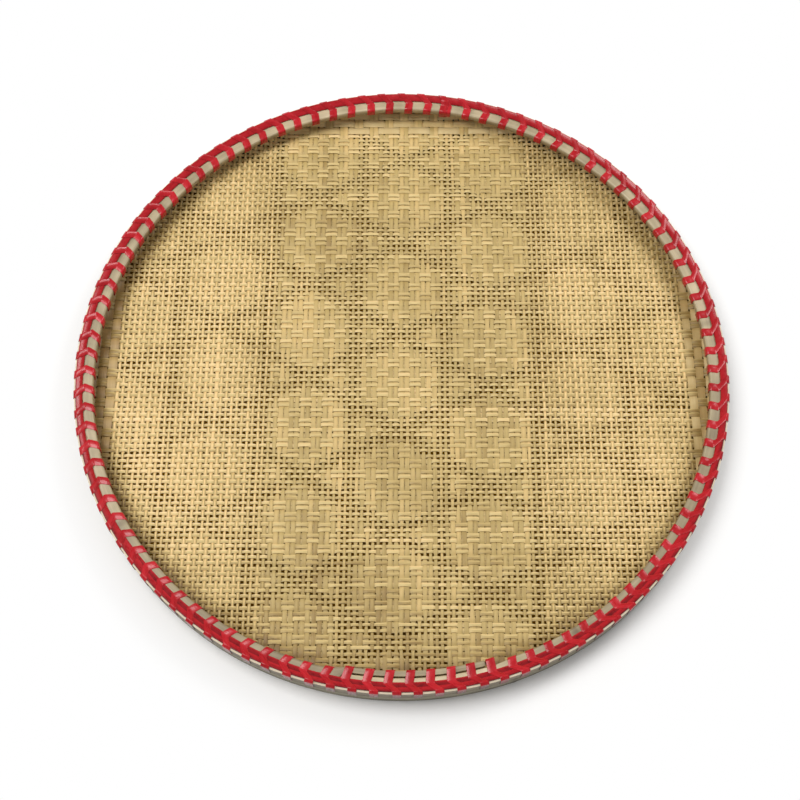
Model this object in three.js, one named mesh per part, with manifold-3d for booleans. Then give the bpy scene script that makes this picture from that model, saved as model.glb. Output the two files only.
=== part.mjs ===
// A flat round bamboo tray basket (zaru), in millimetres, +Z up, standing on its foot hoop.
// The origin is on the table, on the axis of the rim.
import * as THREE from 'three';
import * as BufferGeometryUtils from 'three/addons/utils/BufferGeometryUtils.js';
import Module from 'manifold-3d';

const wasm = await Module();
wasm.setup();

// Clearance kept between any two pieces that touch on the real basket
const clearance = 0.3;
// How far a cutting shape runs past the faces that it cuts
const cutOverrun = 2;

// Foot hoop: a flat lath on edge round the foot of the wall, which the basket stands on
const footHoopHeight = 12.9;

// Outer hoop: a flat lath on edge over the foot hoop, with its top pared to a slope on the inside
const outerHoopRadius = 249;
const outerHoopThickness = 4.2;
const outerHoopHeight = 14;
const outerHoopSlopeWidth = 2.5;
const outerHoopSlopeHeight = 1.9;

// Inner hoop: a thicker lath inside the wall of the mat, with rounded inner edges
const innerHoopBottom = 19;
const innerHoopWidth = 6.5;
const innerHoopHeight = 5.8;
const innerHoopTopChamfer = 1.8;
const innerHoopBottomChamfer = 1.5;
// Its two ends are pared thinner and lie side by side on the near side of the rim
const lapWidth = 4.8;
const lapLength = 94;
const lapStepLength = 24;
const lapStartAngle = THREE.MathUtils.degToRad(261.8);

// Woven mat: a flat floor raised off the table, bent up into a wall held between the hoops
const matThickness = 1.8;
const matFloorHeight = 6.6;
const matBendRun = 5.7;
const matBendRise = 6;

// Drain openings: the weave is open along lines that run upright and slant both ways, and
// each opening stands for the small holes round one crossing of these lines
const drainSize = 18;
const drainMargin = 4;
const drainColumns = 11;
const drainColumnSpacing = 35.4;
const drainRowSpacing = 40.6;
const drainMiddleX = -1.5;
const drainMiddleY = -6.5;
// The mat lies a little askew in the rim: x moves by this share of y, and y by this share of x
const askewXShare = 0.03;
const askewYShare = -0.065;

// Lashing: flat strap, one stitch of which goes round both hoops
const strapWidth = 6.3;
const strapThickness = 0.7;
const strapTopRunLength = 7;
const strapEndGap = 0.6;
const stitchCount = 98;
const lashingPieceCount = 5;
const firstLashingStitch = 22;

// Binding strip: lies along the rim on the slope of the outer hoop, under the stitches
const bindingWidth = 6.3;
const bindingThickness = 0.5;
const bindingOverhang = 0.4;

// Wide splints that edge the woven floor on its four sides
const splintWidth = 6.4;
const splintThickness = 0.7;
const splintSpacing = 0.6;

// The stitches were spaced by hand: each angle drifts from the even spacing by up to a few degrees
const driftMean = THREE.MathUtils.degToRad(2.59);
const driftCosine = THREE.MathUtils.degToRad(-2.43);
const driftSine = THREE.MathUtils.degToRad(0.6);
const driftCosineTwice = THREE.MathUtils.degToRad(-0.91);

// Values that follow from the sizes above
const fullTurn = 2 * Math.PI;
const stitchAngle = fullTurn / stitchCount;
const strapClearance = clearance + strapThickness / 2;
const outerHoopInnerRadius = outerHoopRadius - outerHoopThickness;
const wallOuterRadius = outerHoopInnerRadius - 2 * strapClearance;
const wallInnerRadius = wallOuterRadius - matThickness;
const innerHoopOuterRadius = wallInnerRadius - clearance;
const innerHoopInnerRadius = innerHoopOuterRadius - innerHoopWidth;
const matFloorTop = matFloorHeight + matThickness;
const matFloorRadius = wallInnerRadius - matBendRun;
const outerSplintEdge = matFloorRadius - clearance - splintWidth - splintSpacing / 2;
const innerSplintEdge = outerSplintEdge - splintSpacing - splintWidth;
const outerHoopBottom = footHoopHeight + 2 * strapClearance;
const outerHoopTop = outerHoopBottom + outerHoopHeight;
const footHoopInnerRadius = wallOuterRadius + clearance;
const innerHoopTop = innerHoopBottom + innerHoopHeight;
const slotHeight = innerHoopBottom - strapClearance;
const lapOffset = 2 * lapWidth + clearance - innerHoopWidth;
const lapAngle = lapLength / innerHoopInnerRadius;
const lapStepAngle = lapStepLength / innerHoopInnerRadius;
const lapMarginAngle = clearance / innerHoopInnerRadius;
const strapShiftAngle = strapTopRunLength / outerHoopRadius;

// The slope of the rim's top in profile: x is the distance from the axis and y the height
const slopeAlong = new THREE.Vector2(outerHoopSlopeWidth, outerHoopSlopeHeight).normalize();
const slopeAcross = new THREE.Vector2(-slopeAlong.y, slopeAlong.x);
const bindingLowerOuter = new THREE.Vector2(outerHoopInnerRadius + outerHoopSlopeWidth, outerHoopTop)
  .addScaledVector(slopeAcross, clearance)
  .addScaledVector(slopeAlong, bindingOverhang);
const bindingLowerInner = bindingLowerOuter.clone().addScaledVector(slopeAlong, -bindingWidth);
const bindingUpperOuter = bindingLowerOuter.clone().addScaledVector(slopeAcross, bindingThickness);
const bindingUpperInner = bindingLowerInner.clone().addScaledVector(slopeAcross, bindingThickness);
const wallTop = bindingLowerInner.y - clearance;

// Materials, one colour to each kind of piece
const matMaterial = new THREE.MeshStandardMaterial({ color: 0xd9b67c, roughness: 0.6, metalness: 0 });
const splintMaterial = new THREE.MeshStandardMaterial({ color: 0xd2ab6e, roughness: 0.55, metalness: 0 });
const hoopMaterial = new THREE.MeshStandardMaterial({ color: 0xb98e63, roughness: 0.6, metalness: 0 });
const strapMaterial = new THREE.MeshStandardMaterial({ color: 0xb0202c, roughness: 0.3, metalness: 0 });

// A vertex of a facet whose middle must stay at this radius, for faces that look at the axis
function facetCornerRadius(radius) {
  return radius / Math.cos(stitchAngle / 2);
}

// The hand-spaced angle of a place that even spacing would put at this angle
function driftedAngle(angle) {
  const drift = driftMean + driftCosine * Math.cos(angle) + driftSine * Math.sin(angle)
    + driftCosineTwice * Math.cos(2 * angle);
  return angle + drift;
}

// Turn every vertex about the rim's axis by the drift at its angle
function spaceByHand(geometry) {
  const positions = geometry.getAttribute('position');
  for (let i = 0; i < positions.count; i += 1) {
    const x = positions.getX(i);
    const y = positions.getY(i);
    const radius = Math.hypot(x, y);
    const angle = driftedAngle(Math.atan2(y, x));
    positions.setX(i, radius * Math.cos(angle));
    positions.setY(i, radius * Math.sin(angle));
  }
  positions.needsUpdate = true;
  geometry.computeVertexNormals();
  return geometry;
}

// Revolve a closed outline of [radius, height] pairs, one facet to each stitch
function revolve(outline) {
  const points = outline.map(([radius, height]) => new THREE.Vector2(radius, height));
  points.push(points[0].clone());
  const geometry = new THREE.LatheGeometry(points, stitchCount, (Math.PI + stitchAngle) / 2, fullTurn);
  return geometry.rotateX(Math.PI / 2);
}

// A solid whose shared vertices are merged, ready to cut
function toManifold(geometry) {
  const bare = geometry.clone();
  bare.deleteAttribute('normal');
  bare.deleteAttribute('uv');
  const merged = BufferGeometryUtils.mergeVertices(bare);
  const vertProperties = new Float32Array(merged.getAttribute('position').array);
  const triVerts = new Uint32Array(merged.index.array);
  return new wasm.Manifold(new wasm.Mesh({ numProp: 3, vertProperties, triVerts }));
}

function fromManifold(solid) {
  const mesh = solid.getMesh();
  const geometry = new THREE.BufferGeometry();
  const positions = new Float32Array(mesh.vertProperties);
  geometry.setAttribute('position', new THREE.BufferAttribute(positions, mesh.numProp));
  geometry.setIndex(new THREE.BufferAttribute(new Uint32Array(mesh.triVerts), 1));
  return geometry;
}

// A box that crosses a ring radially at this angle, for a slot or a notch
function radialCutter(angle, innerRadius, outerRadius, bottom, top) {
  const length = outerRadius - innerRadius + 2 * cutOverrun;
  const box = new THREE.BoxGeometry(length, strapWidth + 2 * clearance, top - bottom);
  box.translate((innerRadius + outerRadius) / 2, 0, (bottom + top) / 2);
  return box.rotateZ(angle);
}

// Cut all of these shapes out of a solid
function cutWithAll(geometry, cutters) {
  let cutter = toManifold(cutters[0]);
  for (const next of cutters.slice(1)) {
    cutter = cutter.add(toManifold(next));
  }
  return fromManifold(toManifold(geometry).subtract(cutter));
}

// Cut one such box out of a ring for every stitch
function cutForEveryStitch(geometry, angleOffset, innerRadius, outerRadius, bottom, top) {
  const cutters = [];
  for (let stitch = 0; stitch < stitchCount; stitch += 1) {
    const angle = stitch * stitchAngle + angleOffset;
    cutters.push(radialCutter(angle, innerRadius, outerRadius, bottom, top));
  }
  return cutWithAll(geometry, cutters);
}

// A solid skinned over rings of points, with a flat cap on each end
function skin(rings) {
  const sides = rings[0].length;
  const positions = [];
  const triangles = [];
  for (const ring of rings) {
    for (const point of ring) {
      positions.push(point.x, point.y, point.z);
    }
  }
  for (let row = 0; row + 1 < rings.length; row += 1) {
    for (let side = 0; side < sides; side += 1) {
      const a = row * sides + side;
      const b = row * sides + (side + 1) % sides;
      triangles.push(a, b, b + sides, a, b + sides, a + sides);
    }
  }
  const lastRow = (rings.length - 1) * sides;
  for (let side = 1; side + 1 < sides; side += 1) {
    triangles.push(0, side + 1, side);
    triangles.push(lastRow, lastRow + side, lastRow + side + 1);
  }
  const geometry = new THREE.BufferGeometry();
  geometry.setAttribute('position', new THREE.Float32BufferAttribute(positions, 3));
  geometry.setIndex(triangles);
  return geometry;
}

function cylindrical(radius, angle, height) {
  return new THREE.Vector3(radius * Math.cos(angle), radius * Math.sin(angle), height);
}

// Whether a drain opening here lies inside the bend of the floor and the wide splints
function hasRoomForDrain(x, y) {
  const reachX = Math.abs(x) + drainSize / 2;
  const reachY = Math.abs(y) + drainSize / 2;
  const insideBend = Math.hypot(reachX, reachY) < matFloorRadius - drainMargin;
  const splintEdgeY = y > 0 ? innerSplintEdge : outerSplintEdge;
  return insideBend && reachX < innerSplintEdge && reachY < splintEdgeY;
}

// The crossings of the open lines. A slanting line crosses the upright ones, in the odd
// columns, at every row. In the even columns two slanting lines cross at every second row.
function drainPlaces() {
  const places = [];
  const outerColumn = (drainColumns - 1) / 2;
  for (let column = -outerColumn; column <= outerColumn; column += 1) {
    let row = -drainColumns + 1 / 2;
    let rowStep = 1;
    if (column % 2 === 0) {
      row = column % 4 === 0 ? -drainColumns : 1 - drainColumns;
      rowStep = 2;
    }
    for (; row <= drainColumns; row += rowStep) {
      const across = column * drainColumnSpacing;
      const up = row * drainRowSpacing;
      const x = drainMiddleX + across + askewXShare * up;
      const y = drainMiddleY + up + askewYShare * across;
      if (hasRoomForDrain(x, y)) {
        places.push({ x, y });
      }
    }
  }
  return places;
}

function cutDrainOpenings(geometry) {
  const depth = matThickness + 2 * cutOverrun;
  const cutters = drainPlaces().map(({ x, y }) => {
    const box = new THREE.BoxGeometry(drainSize, drainSize, depth);
    return box.translate(x, y, matFloorHeight + matThickness / 2);
  });
  const drained = cutWithAll(geometry, cutters);
  drained.computeVertexNormals();
  return drained;
}

// Mat: floor, bend and wall in one sheet, with a slot in the wall for each stitch and the
// drain openings in the floor
function makeWovenPanel() {
  const outline = [
    [0, matFloorHeight],
    [wallOuterRadius - matBendRun, matFloorHeight],
    [wallOuterRadius, matFloorHeight + matBendRise],
    [wallOuterRadius, wallTop],
    [facetCornerRadius(wallInnerRadius), wallTop],
    [facetCornerRadius(wallInnerRadius), matFloorTop + matBendRise],
    [facetCornerRadius(matFloorRadius), matFloorTop],
    [0, matFloorTop],
  ];
  const slotBottom = slotHeight - strapClearance;
  const slotTop = slotHeight + strapClearance;
  const sheet = revolve(outline);
  const panel = cutForEveryStitch(sheet, 0, wallInnerRadius, wallOuterRadius, slotBottom, slotTop);
  return cutDrainOpenings(spaceByHand(panel));
}

// Foot hoop: a plain ring, as wide as the room between the wall and the outer hoop's face
function makeFootHoop() {
  const outline = [
    [facetCornerRadius(footHoopInnerRadius), 0],
    [outerHoopRadius, 0],
    [outerHoopRadius, footHoopHeight],
    [facetCornerRadius(footHoopInnerRadius), footHoopHeight],
  ];
  return spaceByHand(revolve(outline));
}

function makeOuterHoop() {
  const outline = [
    [facetCornerRadius(outerHoopInnerRadius), outerHoopBottom],
    [outerHoopRadius, outerHoopBottom],
    [outerHoopRadius, outerHoopTop],
    [facetCornerRadius(outerHoopInnerRadius + outerHoopSlopeWidth), outerHoopTop],
    [facetCornerRadius(outerHoopInnerRadius), outerHoopTop - outerHoopSlopeHeight],
  ];
  return spaceByHand(revolve(outline));
}

// How far along the step towards the axis the inner hoop is at this angle along the lath, from 0 to 1
function lapStepShare(angleAlong) {
  const stepEnd = fullTurn - lapMarginAngle;
  return THREE.MathUtils.clamp((angleAlong - stepEnd + lapStepAngle) / lapStepAngle, 0, 1);
}

// How much the start of the lath is pared at this angle along it, from 1 to 0
function paredShare(angleAlong) {
  const paredEnd = lapAngle + lapMarginAngle;
  return 1 - THREE.MathUtils.clamp((angleAlong - paredEnd) / lapStepAngle, 0, 1);
}

// Inner hoop: one lath, bent round so that its last stretch lies inside its first
function makeInnerHoop() {
  const rings = [];
  const paredEnd = lapAngle + lapMarginAngle;
  const stepEnd = fullTurn - lapMarginAngle;
  // Places along the lath where its section starts or stops changing
  const sweep = fullTurn + lapAngle;
  const breaks = [0, paredEnd, paredEnd + lapStepAngle, stepEnd - lapStepAngle, stepEnd, sweep];
  const angles = [0];
  for (let i = 0; i + 1 < breaks.length; i += 1) {
    const steps = Math.ceil((breaks[i + 1] - breaks[i]) / stitchAngle);
    for (let step = 1; step <= steps; step += 1) {
      angles.push(THREE.MathUtils.lerp(breaks[i], breaks[i + 1], step / steps));
    }
  }
  for (const angleAlong of angles) {
    const angle = lapStartAngle + angleAlong;
    const step = lapStepShare(angleAlong);
    const pared = paredShare(angleAlong) * (innerHoopWidth - lapWidth);
    const outer = innerHoopOuterRadius - step * (lapWidth + clearance);
    const inner = facetCornerRadius(innerHoopInnerRadius - step * lapOffset + pared);
    rings.push([
      cylindrical(inner + innerHoopBottomChamfer, angle, innerHoopBottom),
      cylindrical(inner, angle, innerHoopBottom + innerHoopBottomChamfer),
      cylindrical(inner, angle, innerHoopTop - innerHoopTopChamfer),
      cylindrical(inner + innerHoopTopChamfer, angle, innerHoopTop),
      cylindrical(outer, angle, innerHoopTop),
      cylindrical(outer, angle, innerHoopBottom),
    ]);
  }
  const geometry = skin(rings);
  geometry.computeVertexNormals();
  return geometry;
}

// Binding strip: a closed ring that slopes up from the inner hoop, over the wall, to the outer hoop's top
function makeBindingStrip() {
  const corners = [bindingLowerInner, bindingLowerOuter, bindingUpperOuter, bindingUpperInner];
  const outline = corners.map((corner) => [facetCornerRadius(corner.x), corner.y]);
  return spaceByHand(revolve(outline));
}

// How much further in a stitch reaches here, to hold both ends of the inner hoop where they lap
function lapReach(evenAngle) {
  const spread = (strapWidth / 2 + clearance) / innerHoopInnerRadius + stitchAngle / 2;
  let reach = 0;
  for (const offset of [-spread, 0, spread]) {
    let along = (driftedAngle(evenAngle) + offset - lapStartAngle) % fullTurn;
    if (along < 0) {
      along += fullTurn;
    }
    const share = along <= lapAngle ? 1 : lapStepShare(along);
    reach = Math.max(reach, share * lapOffset);
  }
  return reach;
}

// Where the strap's middle line crosses this height as it runs up the slope of the binding strip
function slopeRadius(height) {
  const start = bindingUpperInner.clone().addScaledVector(slopeAcross, strapClearance);
  return start.x + ((height - start.y) * slopeAlong.x) / slopeAlong.y;
}

// Middle line of one stitch: the corners that the strap turns at, in order along it
function stitchCorners(stitch) {
  const inAngle = stitch * stitchAngle;
  const outAngle = inAngle + strapShiftAngle;
  const innerRadius = innerHoopInnerRadius - strapClearance - lapReach(inAngle);
  const outerRadius = outerHoopRadius + strapClearance;
  const gapRadius = outerHoopInnerRadius - strapClearance;
  const top = bindingUpperOuter.y + strapClearance;
  const hoopTop = innerHoopTop + strapClearance;
  const bottom = outerHoopBottom - strapClearance;
  const innerBevel = innerHoopTopChamfer + strapClearance * (2 - Math.SQRT2);
  const outerBevel = 2 * strapClearance;
  return [
    { radius: gapRadius, angle: inAngle, height: slotHeight },
    { radius: innerRadius, angle: inAngle, height: slotHeight },
    { radius: innerRadius, angle: inAngle, height: hoopTop - innerBevel },
    { radius: innerRadius + innerBevel, angle: inAngle, height: hoopTop },
    { radius: slopeRadius(hoopTop), angle: inAngle, height: hoopTop },
    { radius: slopeRadius(top), angle: outAngle, height: top },
    { radius: outerRadius - outerBevel, angle: outAngle, height: top },
    { radius: outerRadius, angle: outAngle, height: top - outerBevel },
    { radius: outerRadius, angle: outAngle, height: bottom },
    { radius: gapRadius, angle: outAngle, height: bottom },
  ];
}

// One end of a length of strap, hidden between the wall and the outer hoop
function strapEnd(lower, upper, direction) {
  const share = 0.5 + (direction * strapEndGap) / 2 / (upper.height - lower.height);
  return {
    radius: lower.radius,
    angle: THREE.MathUtils.lerp(lower.angle, upper.angle, share),
    height: THREE.MathUtils.lerp(lower.height, upper.height, share),
  };
}

// The corners of one length of strap, from one hidden end to the other
function strapPath(firstStitch, lastStitch) {
  const path = [strapEnd(stitchCorners(firstStitch - 1).at(-1), stitchCorners(firstStitch)[0], 1)];
  for (let stitch = firstStitch; stitch <= lastStitch; stitch += 1) {
    path.push(...stitchCorners(stitch));
  }
  path.push(strapEnd(path.at(-1), stitchCorners(lastStitch + 1)[0], -1));
  return path;
}

// Direction of the strap's middle line in profile, from one corner to another
function directionBetween(start, end) {
  return new THREE.Vector2(end.radius - start.radius, end.height - start.height).normalize();
}

// From the middle line to the strap's face at a corner, long enough to mitre the corner
function mitre(path, place) {
  if (place === 0 || place === path.length - 1) {
    return new THREE.Vector2(strapThickness / 2, 0);
  }
  const into = directionBetween(path[place - 1], path[place]);
  const outOf = directionBetween(path[place], path[place + 1]);
  const across = new THREE.Vector2(into.y + outOf.y, -into.x - outOf.x);
  return across.multiplyScalar(strapThickness / 2 / (1 + into.dot(outOf)));
}

// The four edges of the strap at one corner; its width always lies along the rim
function strapRing(corner, place, path) {
  const along = new THREE.Vector3(-Math.sin(corner.angle), Math.cos(corner.angle), 0);
  const outward = new THREE.Vector3(Math.cos(corner.angle), Math.sin(corner.angle), 0);
  const centre = cylindrical(corner.radius, corner.angle, corner.height);
  const { x: acrossRadial, y: acrossHeight } = mitre(path, place);
  const ring = [];
  for (const [widthSide, thicknessSide] of [[-1, 1], [1, 1], [1, -1], [-1, -1]]) {
    const point = centre.clone();
    point.addScaledVector(along, (widthSide * strapWidth) / 2);
    point.addScaledVector(outward, thicknessSide * acrossRadial);
    point.z += thicknessSide * acrossHeight;
    ring.push(point);
  }
  return ring;
}

// Least distance between points of the strap that lie more than two widths apart along it
function leastSelfGap(rings) {
  const samples = [];
  let along = 0;
  for (let row = 0; row + 1 < rings.length; row += 1) {
    const length = rings[row][0].distanceTo(rings[row + 1][0]);
    const pieces = Math.max(1, Math.round(length / strapThickness / 2));
    for (let piece = 0; piece < pieces; piece += 1) {
      for (let side = 0; side < rings[row].length; side += 1) {
        const point = rings[row][side].clone().lerp(rings[row + 1][side], piece / pieces);
        samples.push({ point, along: along + (length * piece) / pieces });
      }
    }
    along += length;
  }
  let least = Infinity;
  for (let i = 0; i < samples.length; i += 1) {
    for (let j = i + 1; j < samples.length; j += 1) {
      if (samples[j].along - samples[i].along > 2 * strapWidth) {
        least = Math.min(least, samples[i].point.distanceTo(samples[j].point));
      }
    }
  }
  return least;
}

// One length of the lashing
function makeLashing(firstStitch, lastStitch) {
  const rings = strapPath(firstStitch, lastStitch).map(strapRing);
  const geometry = spaceByHand(skin(rings));
  return { geometry, gap: leastSelfGap(rings) };
}

// A wide splint on the floor: a straight strip whose ends are trimmed to the round of the bend
function makeBorderSplint(innerEdge, turn) {
  const reach = matFloorRadius - clearance;
  const outerEdge = innerEdge + splintWidth;
  const innerAngle = Math.asin(innerEdge / reach);
  const outerAngle = Math.asin(outerEdge / reach);
  const innerHalf = reach * Math.cos(innerAngle);
  const outerHalf = reach * Math.cos(outerAngle);
  const outline = new THREE.Shape();
  outline.moveTo(-innerHalf, innerEdge);
  outline.lineTo(innerHalf, innerEdge);
  outline.absarc(0, 0, reach, innerAngle, outerAngle, false);
  outline.lineTo(-outerHalf, outerEdge);
  outline.absarc(0, 0, reach, Math.PI - outerAngle, Math.PI - innerAngle, false);
  const geometry = new THREE.ExtrudeGeometry(outline, {
    depth: splintThickness, bevelEnabled: false, curveSegments: 6,
  });
  geometry.translate(0, 0, matFloorTop + clearance);
  return geometry.rotateZ(turn);
}

const basket = new THREE.Group();

function addPiece(name, geometry, material) {
  const mesh = new THREE.Mesh(geometry, material);
  mesh.name = name;
  basket.add(mesh);
}

addPiece('woven_panel', makeWovenPanel(), matMaterial);
addPiece('inner_hoop', makeInnerHoop(), hoopMaterial);
addPiece('outer_hoop', makeOuterHoop(), hoopMaterial);
addPiece('foot_hoop', makeFootHoop(), hoopMaterial);
addPiece('rim_binding_strip', makeBindingStrip(), strapMaterial);

// Lashing lengths, the first of which starts on the far side
const stitchesPerLength = Math.ceil(stitchCount / lashingPieceCount);
let leastGap = Infinity;
for (let length = 0; length < lashingPieceCount; length += 1) {
  const firstStitch = firstLashingStitch + length * stitchesPerLength;
  const lastStitch = Math.min(firstStitch + stitchesPerLength, firstLashingStitch + stitchCount) - 1;
  const lashing = makeLashing(firstStitch, lastStitch);
  leastGap = Math.min(leastGap, lashing.gap);
  addPiece(`lashing_strap_${length + 1}`, lashing.geometry, strapMaterial);
}
console.log(`Least gap of a lashing strap to itself: ${leastGap.toFixed(2)} mm`);

// Border splints: a pair on the far, left and right sides, and a single one under the near rim
const quarterTurn = Math.PI / 2;
for (const [side, turn] of [['far', 0], ['left', quarterTurn], ['right', -quarterTurn]]) {
  addPiece(`border_splint_${side}_inner`, makeBorderSplint(innerSplintEdge, turn), splintMaterial);
  addPiece(`border_splint_${side}_outer`, makeBorderSplint(outerSplintEdge, turn), splintMaterial);
}
addPiece('border_splint_near', makeBorderSplint(outerSplintEdge, 2 * quarterTurn), splintMaterial);

export default basket;
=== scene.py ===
# A flat round tray basket of woven bamboo, its double-hoop rim lashed with a glossy red strap.
import math

import bpy
import numpy as np
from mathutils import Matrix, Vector


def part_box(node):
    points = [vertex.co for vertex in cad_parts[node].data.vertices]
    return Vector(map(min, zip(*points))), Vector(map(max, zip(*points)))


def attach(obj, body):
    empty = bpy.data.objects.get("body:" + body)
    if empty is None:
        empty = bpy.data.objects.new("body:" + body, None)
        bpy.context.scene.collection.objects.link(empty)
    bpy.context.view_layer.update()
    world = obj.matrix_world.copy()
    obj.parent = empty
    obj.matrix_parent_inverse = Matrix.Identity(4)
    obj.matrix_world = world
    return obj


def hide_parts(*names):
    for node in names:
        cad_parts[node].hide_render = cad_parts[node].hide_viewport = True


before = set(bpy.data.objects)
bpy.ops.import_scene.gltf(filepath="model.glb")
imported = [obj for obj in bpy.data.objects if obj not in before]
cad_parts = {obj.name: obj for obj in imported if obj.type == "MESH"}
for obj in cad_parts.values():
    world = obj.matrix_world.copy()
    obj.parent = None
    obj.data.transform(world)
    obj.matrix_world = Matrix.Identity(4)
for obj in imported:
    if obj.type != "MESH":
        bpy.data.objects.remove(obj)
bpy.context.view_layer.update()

# Lengths below are in millimetres, and MM turns them to Blender's metres
MM = 0.001
TURN = 2 * math.pi
BODY = "root"
# Seed of everything that varies as by hand
HAND_SEED = 7
rng = np.random.default_rng(HAND_SEED)


# Sizes read from the frame

def node_box(node):
    """Lowest and highest corner of a CAD node, in millimetres."""
    low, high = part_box(node)
    return np.array(low) / MM, np.array(high) / MM


def node_radius(node):
    """Greatest distance of a ring-shaped CAD node from the axis of the rim."""
    low, high = node_box(node)
    return float(max(-low[0], -low[1], high[0], high[1]))


def node_heights(node):
    """Bottom and top of a CAD node."""
    low, high = node_box(node)
    return float(low[2]), float(high[2])


OUTER_HOOP_RADIUS = node_radius("outer_hoop")
OUTER_HOOP_BOTTOM, OUTER_HOOP_TOP = node_heights("outer_hoop")
FOOT_HOOP_TOP = node_heights("foot_hoop")[1]
INNER_HOOP_RADIUS = node_radius("inner_hoop")
INNER_HOOP_BOTTOM, INNER_HOOP_TOP = node_heights("inner_hoop")
BINDING_RADIUS = node_radius("rim_binding_strip")
BINDING_TOP = node_heights("rim_binding_strip")[1]
MAT_BOTTOM, MAT_TOP = node_heights("woven_panel")
MAT_WALL_RADIUS = node_radius("woven_panel")

# Sizes of the rim that its boxes don't show
CLEARANCE = 0.3
OUTER_HOOP_THICKNESS = 4.2
SLOPE_WIDTH = 2.5
SLOPE_HEIGHT = 1.9
INNER_HOOP_WIDTH = 6.5
BINDING_WIDTH = 6.3
BINDING_THICKNESS = 0.5
# The strip is thicker in its middle by this much
BINDING_CROWN = 0.06
STRAP_WIDTH = 6.3
STRAP_THICKNESS = 0.3
STRAP_GAP = 0.03
STRAP_TOP_RUN = 7.0
STITCHES = 98
LASHING_LENGTHS = 5
FIRST_STITCH = 22
LAP_START = math.radians(261.8)
LAP_WIDTH = 4.8
LAP_LENGTH = 94.0
LAP_STEP_LENGTH = 24.0
LAP_OFFSET = 2 * LAP_WIDTH + CLEARANCE - INNER_HOOP_WIDTH
# From what the strap lies on to its middle line
STRAP_REACH = STRAP_GAP + STRAP_THICKNESS / 2

# Sizes of the mat
MAT_THICKNESS = 1.8
MAT_BEND_RUN = 6.6
MAT_BEND_RISE = 7.0
SPLINT_THICKNESS = 0.62
SPLINT_LIFT = 0.45
COLUMN_PITCH = 4.223
ROW_PITCH = 4.17
FAR_ROW_PITCH = 3.85
FAR_ROWS = 18
FAR_ROWS_FROM = 150.0
FINE_EDGE = 219.6
NEAR_FINE_EDGE = 226.4
WIDE_SPLINT_PITCH = 7.0
# Wide splints on each side, the first two on the floor and the others up the wall
WIDE_SPLINTS = 4


# Colours and materials

def linear(hex_colour):
    """An sRGB hex colour as the linear RGBA that Blender's sockets take."""
    value = hex_colour.lstrip("#")
    channels = [int(value[i:i + 2], 16) / 255 for i in (0, 2, 4)]
    out = [c / 12.92 if c <= 0.04045 else ((c + 0.055) / 1.055) ** 2.4 for c in channels]
    return (*out, 1.0)


class Maker:
    """One material in the making."""

    def __init__(self, name):
        self.material = bpy.data.materials.new(name)
        self.material.use_nodes = True
        self.tree = self.material.node_tree
        self.tree.nodes.clear()

    def add(self, kind, settings=None, **inputs):
        """Adds a node with its settings, and links or sets its inputs."""
        node = self.tree.nodes.new(kind)
        for key, value in (settings or {}).items():
            setattr(node, key, value)
        for key, value in inputs.items():
            socket = self.socket(node, key)
            if isinstance(value, bpy.types.NodeSocket):
                self.tree.links.new(value, socket)
            else:
                socket.default_value = value
        return node

    @staticmethod
    def socket(node, key):
        """A socket by its name in lower case with underscores, or by its number as in_0."""
        if key.startswith("in_"):
            return node.inputs[int(key[3:])]
        for socket in node.inputs:
            if socket.name.lower().replace(" ", "_") == key and socket.enabled:
                return socket
        raise KeyError(key)

    def finish(self, shader):
        """Gives the material this shader as its surface."""
        output = self.tree.nodes.new("ShaderNodeOutputMaterial")
        self.tree.links.new(shader.outputs[0], output.inputs["Surface"])
        return self.material


def strip_noise(m, spots, detail, roughness=0.5):
    """Noise with this many spots to the millimetre, along a strip and across it."""
    grain = m.add("ShaderNodeAttribute", {"attribute_name": "grain"}).outputs["Vector"]
    stretched = m.add("ShaderNodeMapping", in_0=grain, in_3=(*spots, 1.0))
    noise = m.add("ShaderNodeTexNoise", in_0=stretched.outputs[0], scale=1.0,
                  detail=detail, roughness=roughness)
    return noise.outputs["Fac"]


def toned_colour(m, shades, tones):
    """The colour of a strip between tones, which go from dark to light, by its own tone and its
    shades. A shade is a noise and the share of the scale of tones that it shifts."""
    total = m.add("ShaderNodeAttribute", {"attribute_name": "tone"}).outputs["Fac"]
    for noise, depth in shades:
        shade = m.add("ShaderNodeMath", {"operation": "MULTIPLY_ADD"},
                      in_0=noise, in_1=depth, in_2=-depth / 2)
        shaded = m.add("ShaderNodeMath", {"operation": "ADD"}, in_0=total, in_1=shade.outputs[0])
        total = shaded.outputs[0]
    scale = m.add("ShaderNodeValToRGB", in_0=total)
    elements = scale.color_ramp.elements
    while len(elements) < len(tones):
        elements.new(0.5)
    for number, (element, tone) in enumerate(zip(elements, tones)):
        element.position = number / (len(tones) - 1)
        element.color = linear(tone)
    return scale.outputs["Color"]


# Fibres of bamboo show as long fine streaks, over paler and darker patches
FIBRES_ALONG = 0.02
FIBRE_DEPTH = 0.5
PATCH_SPOTS = (1 / 18, 1 / 9)
PATCH_DEPTH = 0.5


def bamboo(name, tones, fibre_width, roughness, fibre_height):
    """Split bamboo: a silky surface with long straight fibres, in bundles of this width."""
    m = Maker(name)
    fibres = strip_noise(m, (FIBRES_ALONG, 1 / fibre_width), detail=3.0, roughness=0.6)
    patches = strip_noise(m, PATCH_SPOTS, detail=2.0)
    colour = toned_colour(m, [(fibres, FIBRE_DEPTH), (patches, PATCH_DEPTH)], tones)
    bump = m.add("ShaderNodeBump", strength=0.5, distance=fibre_height * MM, height=fibres)
    shader = m.add(
        "ShaderNodeBsdfPrincipled",
        base_color=colour,
        roughness=roughness,
        normal=bump.outputs[0],
        ior=1.5,
    )
    return m.finish(shader)


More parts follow.
